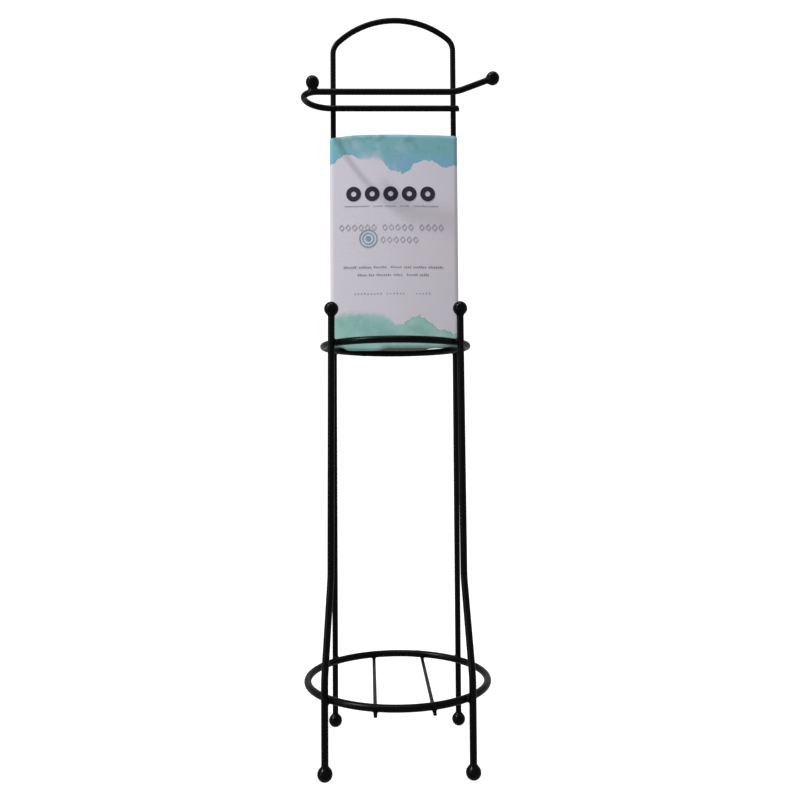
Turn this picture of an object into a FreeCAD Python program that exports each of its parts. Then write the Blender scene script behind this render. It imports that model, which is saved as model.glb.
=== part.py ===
import FreeCAD, Part
import math
import os

from FreeCAD import Placement, Rotation, Vector

# Free-standing toilet paper holder: a welded wire stand with ball feet and a card sleeve on its hoop.
# Millimetres. +Z up, z = 0 on the floor, the axis of the lower ring at x = y = 0, front towards -Y.

doc = FreeCAD.newDocument("toilet_paper_holder")
sheet = doc.addObject("Spreadsheet::Sheet", "sizes")

driving = {
    "total_height": 660.0,
    # wire thicknesses
    "hoop_wire": 5.2,
    "leg_wire": 5.7,
    "arm_wire": 5.5,
    "ring_wire": 6.0,
    "cross_wire": 3.0,
    # balls, and the flat that each foot stands on
    "ball_diameter": 12.0,
    "foot_flat_diameter": 3.0,
    "bore_clearance": 0.05,
    "wire_in_ball": 5.0,
    # rings, to the middle of the wire
    "bottom_ring_radius": 75.7,
    "bottom_ring_height": 61.2,
    "mid_ring_radius": 63.1,
    "mid_ring_height": 344.2,
    # rear hoop, its arch bent a little off the middle
    "hoop_half_width": 56.4,
    "hoop_corner_radius": 15.0,
    "hoop_arch_radius": 78.0,
    "hoop_arch_shift": 1.9,
    # front legs
    "leg_top_x": 53.5,
    "leg_top_height": 371.8,
    "upper_kink_x": 54.7,
    "upper_kink_height": 150.0,
    "lower_kink_height": 78.0,
    "leg_foot_x": 57.5,
    "kink_radius": 26.0,
    # roll arm
    "arm_height": 571.1,
    "arm_left_reach": 81.1,
    "arm_front_bend_radius": 13.5,
    "arm_rear_bend_radius": 24.0,
    "arm_rear_end_x": 59.2,
    "arm_kink_x": 55.5,
    "arm_tip_x": 88.2,
    "arm_tip_rise": 12.3,
    "arm_kink_radius": 38.0,
    "stop_ball_turn": 19.5,
    # cross wires under the lower ring
    "cross_wire_spacing": 45.0,
    "cross_wire_shift": 2.9,
    "cross_wire_length": 147.0,
    "cross_wire_skew": 1.2,
    # welds
    "weld_gap": 0.1,
    "weld_radius": 3.5,
    "small_weld_radius": 2.6,
    # card sleeve
    "card_thickness": 0.5,
    "card_clearance": 0.3,
    "sleeve_height": 198.5,
    "sleeve_fold_radius": 4.4,
    "sleeve_front_bow": 3.5,
    "sleeve_back_bow": 8.0,
}
for row, (alias, value) in enumerate(driving.items(), start=1):
    sheet.set(f"A{row}", alias)
    sheet.set(f"B{row}", str(value))
    sheet.setAlias(f"B{row}", alias)
doc.recompute()


def size(alias):
    return float(sheet.get(alias))


# --- places worked out from the driving sizes -------------------------------------------------

ball_radius = size("ball_diameter") / 2
foot_centre_z = math.sqrt(ball_radius**2 - (size("foot_flat_diameter") / 2) ** 2)
weld_gap = size("weld_gap")


def contact_distance(wire_a, wire_b):
    """Distance between the centre lines of two wires that are welded side by side."""
    return (size(wire_a) + size(wire_b)) / 2 + weld_gap


# The uprights stand outside the rings, so their distance from a ring's axis is known.
hoop_x = size("hoop_half_width")
hoop_reach_bottom = size("bottom_ring_radius") + contact_distance("ring_wire", "hoop_wire")
hoop_reach_mid = size("mid_ring_radius") + contact_distance("ring_wire", "hoop_wire")
hoop_y = math.sqrt(hoop_reach_bottom**2 - hoop_x**2)
mid_ring_y = hoop_y - math.sqrt(hoop_reach_mid**2 - hoop_x**2)

bottom_ring_z = size("bottom_ring_height")
mid_ring_z = size("mid_ring_height")
leg_foot_x = size("leg_foot_x")
leg_reach_bottom = size("bottom_ring_radius") + contact_distance("ring_wire", "leg_wire")
leg_foot_y = -math.sqrt(leg_reach_bottom**2 - leg_foot_x**2)

leg_top_z = size("leg_top_height")
upper_kink_z = size("upper_kink_height")
share_at_mid_ring = (leg_top_z - mid_ring_z) / (leg_top_z - upper_kink_z)
leg_x_at_mid_ring = size("leg_top_x") + share_at_mid_ring * (size("upper_kink_x") - size("leg_top_x"))
leg_reach_mid = size("mid_ring_radius") + contact_distance("ring_wire", "leg_wire")
leg_upper_y = mid_ring_y - math.sqrt(leg_reach_mid**2 - leg_x_at_mid_ring**2)

arm_z = size("arm_height")
arm_rear_y = hoop_y - contact_distance("arm_wire", "hoop_wire")
front_bend = size("arm_front_bend_radius")
rear_bend = size("arm_rear_bend_radius")
arm_bend_y = arm_rear_y - rear_bend
arm_front_y = arm_bend_y - front_bend
arm_far_x = -size("arm_left_reach")
arm_tip = Vector(size("arm_tip_x"), arm_front_y, arm_z + size("arm_tip_rise"))

cross_wire_z = bottom_ring_z - contact_distance("ring_wire", "cross_wire")
sleeve_bottom_z = mid_ring_z + size("ring_wire") / 2 + size("card_clearance")


# --- building blocks --------------------------------------------------------------------------

nodes = []


def node(obj, label):
    """Name a finished sub-part; its label is its file's name."""
    obj.Label = label
    nodes.append(obj)
    return obj


def rounded_path(points, radii):
    """Straight runs through the points, joined by tangent arcs of the given radii."""
    edges = []
    start = points[0]
    for before, corner, after, radius in zip(points, points[1:], points[2:], radii):
        towards = (corner - before).normalize()
        away = (after - corner).normalize()
        turn = towards.getAngle(away)
        cut_back = radius * math.tan(turn / 2)
        arc_start = corner - towards * cut_back
        arc_end = corner + away * cut_back
        inward = (away - towards).normalize()
        middle = corner + inward * (radius / math.cos(turn / 2) - radius)
        edges.append(Part.LineSegment(start, arc_start).toShape())
        edges.append(Part.Arc(arc_start, middle, arc_end).toShape())
        start = arc_end
    edges.append(Part.LineSegment(start, points[-1]).toShape())
    return Part.Wire(edges)


def wire_along(name, path_shape, wire_alias):
    """A round wire swept along a path; its thickness is bound to the sheet."""
    path = doc.addObject("Part::Feature", name + "_path")
    path.Shape = path_shape
    first = path_shape.Edges[0]
    section = doc.addObject("Part::Circle", name + "_section")
    section.setExpression("Radius", f"sizes.{wire_alias} / 2")
    direction = first.tangentAt(first.FirstParameter)
    section.Placement = Placement(first.valueAt(first.FirstParameter), Rotation(Vector(0, 0, 1), direction))
    sweep = doc.addObject("Part::Sweep", name)
    sweep.Sections = [section]
    sweep.Spine = (path, [f"Edge{i + 1}" for i in range(len(path_shape.Edges))])
    sweep.Solid = True
    sweep.Frenet = False
    return node(sweep, name)


def ring(name, radius_alias, centre):
    torus = doc.addObject("Part::Torus", name)
    torus.setExpression("Radius1", f"sizes.{radius_alias}")
    torus.setExpression("Radius2", "sizes.ring_wire / 2")
    torus.Placement = Placement(centre, Rotation())
    return node(torus, name)


def drilled_ball(name, centre, wire_direction, wire_alias, has_flat=False):
    """A ball with a blind hole for the wire that comes in against wire_direction."""
    ball = doc.addObject("Part::Sphere", name + "_ball")
    ball.setExpression("Radius", "sizes.ball_diameter / 2")
    ball.Placement = Placement(centre, Rotation())
    hole = doc.addObject("Part::Cylinder", name + "_hole")
    hole.setExpression("Radius", f"sizes.{wire_alias} / 2 + sizes.bore_clearance")
    hole.setExpression("Height", "sizes.ball_diameter")
    bottom = centre + wire_direction * (ball_radius - size("wire_in_ball") - size("bore_clearance"))
    hole.Placement = Placement(bottom, Rotation(Vector(0, 0, 1), wire_direction))
    drilled = doc.addObject("Part::Cut", name + "_drilled")
    drilled.Base = ball
    drilled.Tool = hole
    if not has_flat:
        return node(drilled, name)
    floor_side = doc.addObject("Part::Box", name + "_floor_side")
    for side in ("Length", "Width", "Height"):
        floor_side.setExpression(side, "sizes.ball_diameter")
    low_corner = Vector(centre.x - ball_radius, centre.y - ball_radius, -2 * ball_radius)
    floor_side.Placement = Placement(low_corner, Rotation())
    foot = doc.addObject("Part::Cut", name)
    foot.Base = drilled
    foot.Tool = floor_side
    return node(foot, name)


def weld(name, centre, joined, radius_alias="weld_radius"):
    """A bead of weld metal that fills the corners round the place where pieces meet."""
    bead = doc.addObject("Part::Sphere", name + "_blob")
    bead.setExpression("Radius", f"sizes.{radius_alias}")
    bead.Placement = Placement(centre, Rotation())
    for count, piece in enumerate(joined, start=1):
        shaped = doc.addObject("Part::Cut", f"{name}_cut{count}")
        shaped.Base = bead
        shaped.Tool = piece
        bead = shaped
    return bead


def weld_group(name, beads):
    group = doc.addObject("Part::Compound", name)
    group.Links = beads
    return node(group, name)


# --- rear hoop: two straight legs, two tight corners and a shallow arch -------------------------

wire_end_z = foot_centre_z + ball_radius - size("wire_in_ball")
arch_top_z = size("total_height") - size("hoop_wire") / 2
arch_radius = size("hoop_arch_radius")
corner_radius = size("hoop_corner_radius")
arch_shift = size("hoop_arch_shift")
arch_centre = Vector(arch_shift, hoop_y, arch_top_z - arch_radius)


def hoop_points(side):
    """Where one corner arc starts on the leg, its middle and where it meets the arch."""
    run = side * (hoop_x - corner_radius) - arch_shift
    rise = math.sqrt((arch_radius - corner_radius) ** 2 - run**2)
    corner = arch_centre + Vector(run, 0, rise)
    outward = (corner - arch_centre).normalize()
    on_leg = corner + Vector(side * corner_radius, 0, 0)
    on_arch = arch_centre + outward * arch_radius
    half_way = (Vector(side, 0, 0) + outward).normalize()
    return on_leg, corner + half_way * corner_radius, on_arch


left_on_leg, left_middle, left_on_arch = hoop_points(-1)
right_on_leg, right_middle, right_on_arch = hoop_points(1)
hoop_path = Part.Wire([
    Part.LineSegment(Vector(-hoop_x, hoop_y, wire_end_z), left_on_leg).toShape(),
    Part.Arc(left_on_leg, left_middle, left_on_arch).toShape(),
    Part.Arc(left_on_arch, arch_centre + Vector(0, 0, arch_radius), right_on_arch).toShape(),
    Part.Arc(right_on_arch, right_middle, right_on_leg).toShape(),
    Part.LineSegment(right_on_leg, Vector(hoop_x, hoop_y, wire_end_z)).toShape(),
])
rear_hoop = wire_along("rear_hoop", hoop_path, "hoop_wire")

# --- rings --------------------------------------------------------------------------------------

mid_ring = ring("mid_ring", "mid_ring_radius", Vector(0, mid_ring_y, mid_ring_z))
bottom_ring = ring("bottom_ring", "bottom_ring_radius", Vector(0, 0, bottom_ring_z))

# --- front legs, with their balls ----------------------------------------------------------------

front_legs = {}
for side, hand in ((-1, "left"), (1, "right")):
    top_ball = Vector(side * size("leg_top_x"), leg_upper_y, leg_top_z)
    upper_kink = Vector(side * size("upper_kink_x"), leg_upper_y, upper_kink_z)
    lower_kink = Vector(side * leg_foot_x, leg_foot_y, size("lower_kink_height"))
    upwards = (top_ball - upper_kink).normalize()
    wire_top = top_ball - upwards * (ball_radius - size("wire_in_ball"))
    wire_bottom = Vector(side * leg_foot_x, leg_foot_y, wire_end_z)
    kinks = [size("kink_radius")] * 2
    leg_path = rounded_path([wire_bottom, lower_kink, upper_kink, wire_top], kinks)
    front_legs[hand] = wire_along(f"front_leg_{hand}", leg_path, "leg_wire")
    drilled_ball(f"leg_top_ball_{hand}", top_ball, upwards * -1, "leg_wire")
    front_foot = Vector(side * leg_foot_x, leg_foot_y, foot_centre_z)
    rear_foot = Vector(side * hoop_x, hoop_y, foot_centre_z)
    drilled_ball(f"foot_ball_front_{hand}", front_foot, Vector(0, 0, 1), "leg_wire", has_flat=True)
    drilled_ball(f"foot_ball_rear_{hand}", rear_foot, Vector(0, 0, 1), "hoop_wire", has_flat=True)

# --- roll arm: rear bar, U-bend at the left, front bar and a kinked-up tip with its balls ----------

arm_kink = Vector(size("arm_kink_x"), arm_front_y, arm_z)
tip_direction = (arm_tip - arm_kink).normalize()
tip_wire_end = arm_tip - tip_direction * (ball_radius - size("wire_in_ball"))
front_start = Vector(arm_far_x + front_bend, arm_front_y, arm_z)
bar_and_tip = rounded_path([front_start, arm_kink, tip_wire_end], [size("arm_kink_radius")])
rear_end = Vector(size("arm_rear_end_x"), arm_rear_y, arm_z)
bend_start = Vector(arm_far_x + rear_bend, arm_rear_y, arm_z)
bend_far = Vector(arm_far_x, arm_bend_y, arm_z)


def quarter_middle(radius, facing):
    """Middle of the quarter arc that leads into or out of the bend's far point."""
    centre = Vector(arm_far_x + radius, arm_bend_y, arm_z)
    return centre + Vector(-1, facing, 0).normalize() * radius


arm_path = Part.Wire([
    Part.LineSegment(rear_end, bend_start).toShape(),
    Part.Arc(bend_start, quarter_middle(rear_bend, 1), bend_far).toShape(),
    Part.Arc(bend_far, quarter_middle(front_bend, -1), front_start).toShape(),
    *bar_and_tip.Edges,
])
roll_arm = wire_along("roll_arm", arm_path, "arm_wire")
drilled_ball("arm_end_ball", arm_tip, tip_direction * -1, "arm_wire")

# The stop ball sits on top of the wire, a little way round the bend from the front bar.
stop_turn = math.radians(size("stop_ball_turn"))
stop_point = Vector(
    front_start.x - front_bend * math.sin(stop_turn),
    arm_bend_y - front_bend * math.cos(stop_turn),
    arm_z + size("arm_wire") / 2,
)
stop_ball = doc.addObject("Part::Sphere", "arm_stop_ball")
stop_ball.setExpression("Radius", "sizes.ball_diameter / 2")
stop_ball.Placement = Placement(stop_point + Vector(0, 0, ball_radius + weld_gap), Rotation())
node(stop_ball, "arm_stop_ball")

# --- cross wires ------------------------------------------------------------------------------------

cross_wires = {}
skew = math.radians(size("cross_wire_skew"))
cross_direction = Vector(-math.sin(skew), math.cos(skew), 0)
for side, hand in ((-1, "left"), (1, "right")):
    middle_x = side * size("cross_wire_spacing") / 2 + size("cross_wire_shift")
    middle = Vector(middle_x, 0, cross_wire_z)
    rod = doc.addObject("Part::Cylinder", f"cross_wire_{hand}")
    rod.setExpression("Radius", "sizes.cross_wire / 2")
    rod.setExpression("Height", "sizes.cross_wire_length")
    rod_start = middle - cross_direction * (size("cross_wire_length") / 2)
    rod.Placement = Placement(rod_start, Rotation(Vector(0, 0, 1), cross_direction))
    cross_wires[hand] = node(rod, f"cross_wire_{hand}")

# --- welds ------------------------------------------------------------------------------------------

mid_centre = Vector(0, mid_ring_y, mid_ring_z)
bottom_centre = Vector(0, 0, bottom_ring_z)
mid_touch = size("mid_ring_radius") + size("ring_wire") / 2 + weld_gap / 2
bottom_touch = size("bottom_ring_radius") + size("ring_wire") / 2 + weld_gap / 2
mid_beads = []
bottom_beads = []
arm_beads = []
for side, hand in ((-1, "left"), (1, "right")):
    uprights = {
        "rear": (rear_hoop, Vector(side * hoop_x, hoop_y, 0), Vector(side * hoop_x, hoop_y, 0)),
        "front": (
            front_legs[hand],
            Vector(side * leg_x_at_mid_ring, leg_upper_y, 0),
            Vector(side * leg_foot_x, leg_foot_y, 0),
        ),
    }
    for place, (upright, at_mid, at_bottom) in uprights.items():
        towards_mid = Vector(at_mid.x, at_mid.y - mid_ring_y, 0).normalize()
        towards_bottom = Vector(at_bottom.x, at_bottom.y, 0).normalize()
        at_mid_ring = mid_centre + towards_mid * mid_touch
        at_bottom_ring = bottom_centre + towards_bottom * bottom_touch
        mid_beads.append(weld(f"mid_weld_{place}_{hand}", at_mid_ring, [mid_ring, upright]))
        bottom_beads.append(weld(f"bottom_weld_{place}_{hand}", at_bottom_ring, [bottom_ring, upright]))
    arm_touch = Vector(side * hoop_x, arm_rear_y + (size("arm_wire") + weld_gap) / 2, arm_z)
    arm_beads.append(weld(f"arm_weld_{hand}", arm_touch, [rear_hoop, roll_arm]))
weld_group("mid_ring_welds", mid_beads)
weld_group("bottom_ring_welds", bottom_beads)
weld_group("arm_welds", arm_beads)

stop_touch = stop_point + Vector(0, 0, weld_gap / 2)
node(weld("stop_ball_bead", stop_touch, [roll_arm, stop_ball]), "stop_ball_weld")

# A cross wire passes under the middle of the ring's wire at the front and at the back.
cross_beads = []
for side, hand in ((-1, "left"), (1, "right")):
    middle_x = side * size("cross_wire_spacing") / 2 + size("cross_wire_shift")
    along_middle = middle_x * cross_direction.x
    half_chord = math.sqrt(size("bottom_ring_radius") ** 2 - middle_x**2 + along_middle**2)
    for place, direction in (("front", -1), ("rear", 1)):
        along = direction * half_chord - along_middle
        touch_z = cross_wire_z + (size("cross_wire") + weld_gap) / 2
        touch = Vector(middle_x, 0, touch_z) + cross_direction * along
        name = f"cross_weld_{place}_{hand}"
        cross_beads.append(weld(name, touch, [bottom_ring, cross_wires[hand]], "small_weld_radius"))
weld_group("cross_wire_welds", cross_beads)

# --- card sleeve: a flattened tube of thin card, bowed front and back, folded round the hoop's legs --

fold_centre_x = hoop_x + size("hoop_wire") / 2 + size("card_clearance") + size("card_thickness")
fold_centre_x -= size("sleeve_fold_radius")


def bow_offset(bow):
    """How far behind the folds a panel's arc is centred, for the panel to bow by this much."""
    return (fold_centre_x**2 - bow**2) / (2 * bow)


def sleeve_outline(inset):
    """Closed outline of four tangent arcs, inset from the outer face."""
    fold = size("sleeve_fold_radius") - inset
    outline = []
    for facing, bow in ((-1, size("sleeve_front_bow")), (1, size("sleeve_back_bow"))):
        offset = bow_offset(bow)
        panel_centre = Vector(0, hoop_y - facing * offset, sleeve_bottom_z)
        panel_radius = math.hypot(fold_centre_x, offset) + fold
        tangents = []
        for side in (-1, 1):
            fold_centre = Vector(side * fold_centre_x, hoop_y, sleeve_bottom_z)
            outward = (fold_centre - panel_centre).normalize()
            tangents.append(fold_centre + outward * fold)
        crown = panel_centre + Vector(0, facing * panel_radius, 0)
        outline.append((tangents[0], crown, tangents[1]))
    (front_left, front_crown, front_right), (back_left, back_crown, back_right) = outline
    right_fold = Vector(fold_centre_x + fold, hoop_y, sleeve_bottom_z)
    left_fold = Vector(-fold_centre_x - fold, hoop_y, sleeve_bottom_z)
    return Part.Wire([
        Part.Arc(front_left, front_crown, front_right).toShape(),
        Part.Arc(front_right, right_fold, back_right).toShape(),
        Part.Arc(back_right, back_crown, back_left).toShape(),
        Part.Arc(back_left, left_fold, front_left).toShape(),
    ])


card_section = doc.addObject("Part::Feature", "card_section")
card_outlines = [sleeve_outline(0.0), sleeve_outline(size("card_thickness"))]
card_section.Shape = Part.Face(card_outlines, "Part::FaceMakerBullseye")
card_sleeve = doc.addObject("Part::Extrusion", "card_sleeve")
card_sleeve.Base = card_section
card_sleeve.DirMode = "Custom"
card_sleeve.Dir = Vector(0, 0, 1)
card_sleeve.Solid = True
card_sleeve.setExpression("LengthFwd", "sizes.sleeve_height")
node(card_sleeve, "card_sleeve")

# --- checks and export --------------------------------------------------------------------------------

doc.recompute()
for obj in doc.Objects:
    if "Invalid" in obj.State or "Error" in obj.State:
        raise RuntimeError(f"{obj.Name} did not recompute: {obj.State}")
for obj in nodes:
    if obj.Shape.isNull() or not obj.Shape.isValid() or obj.Shape.Volume <= 0:
        raise RuntimeError(f"{obj.Label} has no valid shape")

os.makedirs("parts", exist_ok=True)
for obj in nodes:
    obj.Shape.exportStep(f"parts/{obj.Label}.step")
    print(f"{obj.Label}: {obj.Shape.Volume:.1f} mm3, {len(obj.Shape.Solids)} solid(s)")

for wire, path, alias in (
    (rear_hoop, hoop_path, "hoop_wire"),
    (front_legs["left"], front_legs["left"].Spine[0].Shape, "leg_wire"),
    (roll_arm, arm_path, "arm_wire"),
):
    expected = path.Length * math.pi * (size(alias) / 2) ** 2
    share = wire.Shape.Volume / expected
    print(f"{wire.Label}: length {path.Length:.1f} mm, volume is {share:.4f} of section x length")
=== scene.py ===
import math

import bpy
import numpy as np
from mathutils import Matrix, Vector


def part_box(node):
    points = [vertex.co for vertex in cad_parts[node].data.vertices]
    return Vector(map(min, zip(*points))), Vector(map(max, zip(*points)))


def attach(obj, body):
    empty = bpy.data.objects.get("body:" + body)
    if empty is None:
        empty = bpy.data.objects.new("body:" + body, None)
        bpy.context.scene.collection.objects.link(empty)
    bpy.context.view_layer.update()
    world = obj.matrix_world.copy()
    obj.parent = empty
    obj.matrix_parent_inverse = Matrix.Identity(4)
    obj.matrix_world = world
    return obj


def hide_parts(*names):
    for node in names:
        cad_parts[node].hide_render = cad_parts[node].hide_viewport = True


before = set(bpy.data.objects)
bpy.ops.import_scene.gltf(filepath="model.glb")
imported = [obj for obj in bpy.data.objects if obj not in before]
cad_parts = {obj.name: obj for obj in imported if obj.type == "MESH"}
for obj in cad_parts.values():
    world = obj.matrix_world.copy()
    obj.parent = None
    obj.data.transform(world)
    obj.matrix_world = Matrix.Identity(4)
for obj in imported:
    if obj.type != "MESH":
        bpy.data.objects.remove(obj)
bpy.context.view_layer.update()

mm = 0.001


def hexLinear(code):
    # sRGB hex to linear RGBA
    parts = [int(code[i:i + 2], 16) / 255 for i in (1, 3, 5)]
    return [c / 12.92 if c <= 0.04045 else ((c + 0.055) / 1.055) ** 2.4 for c in parts] + [1.0]


def addNode(tree, kind, inputs=None, **settings):
    # one node with its settings; each input is given a value or the socket that feeds it
    node = tree.nodes.new(kind)
    for key, value in settings.items():
        setattr(node, key, value)
    for key, value in (inputs or {}).items():
        if isinstance(value, bpy.types.NodeSocket):
            tree.links.new(value, node.inputs[key])
        else:
            node.inputs[key].default_value = value
    return node


def startMaterial(name):
    material = bpy.data.materials.new(name)
    material.use_nodes = True
    material.node_tree.nodes.clear()
    return material, material.node_tree


def addMesh(name, points, faces, material, smooth=True):
    mesh = bpy.data.meshes.new(name)
    mesh.from_pydata([tuple(p) for p in points], [], [tuple(f) for f in faces])
    mesh.validate()
    mesh.update()
    for polygon in mesh.polygons:
        polygon.use_smooth = smooth
    piece = bpy.data.objects.new(name, mesh)
    bpy.context.scene.collection.objects.link(piece)
    mesh.materials.append(material)
    return piece


def finishPiece(piece, body, slotName, *nodes):
    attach(piece, body)
    if nodes:
        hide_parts(*nodes)
    return piece


def centreOf(node):
    low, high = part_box(node)
    return (low + high) / 2


# Semi-gloss black powder coat, sprayed dry and baked on: it flows out nearly smooth but keeps a faint
# orange peel, so highlights are soft-edged streaks and the rest reads as deep black.
powderCoatLook = {
    "colour": "#020203",
    "dustColour": "#0c0c0f",
    "dustAmount": 0.35,
    "roughness": (0.24, 0.34),
    "specular": 0.10,
    "speckSize": 0.9,       # mm, dust baked into the coat
    "peelSize": 1.8,        # mm, drawn about twice as coarse as real peel so that it shows
    "peelDepth": 0.02,      # mm
    "peelStrength": 0.5,
    "patchSize": 22.0,      # mm, slow change of gloss where the coat is thicker or thinner
}


def blackPowderCoat(name, look):
    material, tree = startMaterial(name)
    place = addNode(tree, "ShaderNodeTexCoord").outputs["Object"]
    patches = addNode(tree, "ShaderNodeTexNoise", {
        "Vector": place, "Scale": 1 / (look["patchSize"] * mm), "Detail": 3.0, "Roughness": 0.6})
    gloss = addNode(tree, "ShaderNodeMapRange", {
        "Value": patches.outputs["Fac"], "From Min": 0.35, "From Max": 0.65,
        "To Min": look["roughness"][0], "To Max": look["roughness"][1]})
    specks = addNode(tree, "ShaderNodeTexNoise", {
        "Vector": place, "Scale": 1 / (look["speckSize"] * mm), "Detail": 2.0})
    dust = addNode(tree, "ShaderNodeMapRange", {
        "Value": specks.outputs["Fac"], "From Min": 0.66, "From Max": 0.80,
        "To Min": 0.0, "To Max": look["dustAmount"]})
    tone = addNode(tree, "ShaderNodeMix", {
        "Factor": dust.outputs["Result"], 6: hexLinear(look["colour"]), 7: hexLinear(look["dustColour"]),
    }, data_type="RGBA")
    peel = addNode(tree, "ShaderNodeTexNoise", {
        "Vector": place, "Scale": 1 / (look["peelSize"] * mm), "Detail": 2.5, "Roughness": 0.55})
    bump = addNode(tree, "ShaderNodeBump", {
        "Height": peel.outputs["Fac"], "Strength": look["peelStrength"],
        "Distance": look["peelDepth"] * mm})
    shader = addNode(tree, "ShaderNodeBsdfPrincipled", {
        "Base Color": tone.outputs[2], "Roughness": gloss.outputs["Result"], "Normal": bump.outputs["Normal"],
        "Specular IOR Level": look["specular"], "IOR": 1.5})
    addNode(tree, "ShaderNodeOutputMaterial", {"Surface": shader.outputs[0]})
    return material


wireCoat = blackPowderCoat("blackPowderCoatedWire", powderCoatLook)
# on the balls the coat flows out further, so they show one small soft glint
ballCoat = blackPowderCoat("blackPowderCoatedBall", dict(
    powderCoatLook, roughness=(0.20, 0.28), peelSize=2.2))
# over weld metal it lies on spatter and scale, duller and lumpier
weldCoat = blackPowderCoat("blackPowderCoatOverWeld", dict(
    powderCoatLook, roughness=(0.30, 0.42), peelDepth=0.04))
print("materials for the stand are ready")


# wires: round sections carried along straight runs and tangent arcs
wireLook = {
    "around": 28,           # sides of a wire
    "bendStep": 4.0,        # degrees of bend between two cross sections
    "runStep": 12.0,        # mm between cross sections on a straight run
    "endRound": 0.7,        # mm, worn edge of a sheared end under its coat
    "endAngles": (90, 67, 45, 22),
}


def straightRun(start, end):
    count = max(1, round((end - start).length / (wireLook["runStep"] * mm)))
    return [start.lerp(end, i / count) for i in range(count)]


def arcBetween(centre, fromPoint, normal, turn):
    # points of an arc, its last one left to the run that follows
    count = max(2, math.ceil(abs(math.degrees(turn)) / wireLook["bendStep"]))
    arm = fromPoint - centre
    return [centre + Matrix.Rotation(turn * i / count, 3, normal) @ arm for i in range(count)]


def bentPath(corners, bendRadius):
    # straight runs joined by tangent arcs
    points = []
    start = corners[0]
    for before, corner, after in zip(corners, corners[1:], corners[2:]):
        towards = (corner - before).normalized()
        away = (after - corner).normalized()
        turn = towards.angle(away)
        arcStart = corner - towards * bendRadius * math.tan(turn / 2)
        normal = towards.cross(away).normalized()
        centre = arcStart + normal.cross(towards) * bendRadius
        points += straightRun(start, arcStart) + arcBetween(centre, arcStart, normal, turn)
        start = corner + away * bendRadius * math.tan(turn / 2)
    return points + straightRun(start, corners[-1]) + [corners[-1]]


def crossSection(centre, side, up, radius):
    steps = [2 * math.pi * i / wireLook["around"] for i in range(wireLook["around"])]
    return [centre + (side * math.cos(a) + up * math.sin(a)) * radius for a in steps]


def joinRings(count, around, closed):
    faces = []
    for i in range(count if closed else count - 1):
        a, b = i * around, (i + 1) % count * around
        for j in range(around):
            k = (j + 1) % around
            faces.append((a + j, a + k, b + k, b + j))
    return faces


def wireMesh(name, path, radius):
    # round wire along an open path, with rounded ends
    endRound = wireLook["endRound"] * mm
    final = len(path) - 1
    tangents = [
        (path[min(i + 1, final)] - path[max(i - 1, 0)]).normalized()
        for i in range(len(path))
    ]
    side = tangents[0].orthogonal().normalized()
    sections = []
    rounding = [math.radians(a) for a in wireLook["endAngles"]]
    for index, (point, tangent) in enumerate(zip(path, tangents)):
        side = (side - tangent * side.dot(tangent)).normalized()
        up = tangent.cross(side)
        if index == 0:
            for a in rounding:
                inner = radius - endRound * (1 - math.cos(a))
                sections.append(crossSection(point + tangent * endRound * (1 - math.sin(a)), side, up, inner))
            sections.append(crossSection(point + tangent * endRound, side, up, radius))
        elif index == final:
            sections.append(crossSection(point - tangent * endRound, side, up, radius))
            for a in reversed(rounding):
                inner = radius - endRound * (1 - math.cos(a))
                sections.append(crossSection(point - tangent * endRound * (1 - math.sin(a)), side, up, inner))
        else:
            sections.append(crossSection(point, side, up, radius))
    around = wireLook["around"]
    faces = joinRings(len(sections), around, False)
    last = (len(sections) - 1) * around
    faces.append(tuple(reversed(range(around))))
    faces.append(tuple(last + j for j in range(around)))
    return addMesh(name, [p for s in sections for p in s], faces, wireCoat)


ringLook = {
    "steps": 240,
    "midSeam": 118,         # degrees round from the right
    "bottomSeam": 75,
    "seamHeight": 0.22,     # mm, the butt weld that closes the ring, dressed but still proud
    "seamWidth": 2.2,       # mm
}


def ringMesh(name, node, seam):
    # closed ring, with the seam this many degrees round it
    seamAngle = math.radians(seam)
    downward = Vector((0, 0, -1))
    low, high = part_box(node)
    centre = (low + high) / 2
    wireRadius = (high.z - low.z) / 2
    ringRadius = (high.x - low.x) / 2 - wireRadius
    sections = []
    for i in range(ringLook["steps"]):
        angle = 2 * math.pi * i / ringLook["steps"]
        out = Vector((math.cos(angle), math.sin(angle), 0))
        off = math.remainder(angle - seamAngle, 2 * math.pi) * ringRadius / (ringLook["seamWidth"] * mm)
        swell = ringLook["seamHeight"] * mm * math.exp(-off * off)
        sections.append(crossSection(centre + out * ringRadius, out, downward, wireRadius + swell))
    faces = joinRings(len(sections), wireLook["around"], True)
    piece = addMesh(name, [p for s in sections for p in s], faces, wireCoat)
    return piece, centre, ringRadius, wireRadius


midRing, midCentre, midRadius, ringWire = ringMesh("midRing", "mid_ring", ringLook["midSeam"])
finishPiece(midRing, "stand", "painted_wire", "mid_ring")
bottomRing, bottomCentre, bottomRadius, ringWire = ringMesh(
    "bottomRing", "bottom_ring", ringLook["bottomSeam"])
finishPiece(bottomRing, "stand", "painted_wire", "bottom_ring")

# rear hoop: two legs, two tight corners and a shallow arch
hoop = {"cornerRadius": 15.0, "archRadius": 78.0, "archShift": 1.9}
hoopLow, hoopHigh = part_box("rear_hoop")
hoopWire = (hoopHigh.y - hoopLow.y) / 2
hoopX = hoopHigh.x - hoopWire
hoopY = (hoopLow.y + hoopHigh.y) / 2
archCentre = Vector((hoop["archShift"] * mm, hoopY, hoopHigh.z - hoopWire - hoop["archRadius"] * mm))


def hoopCorner(side):
    # centre of a corner bend, and how far it turns
    run = side * (hoopX - hoop["cornerRadius"] * mm) - archCentre.x
    rise = math.sqrt(((hoop["archRadius"] - hoop["cornerRadius"]) * mm) ** 2 - run ** 2)
    return archCentre + Vector((run, 0, rise)), math.pi / 2 - math.atan2(abs(run), rise)


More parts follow.
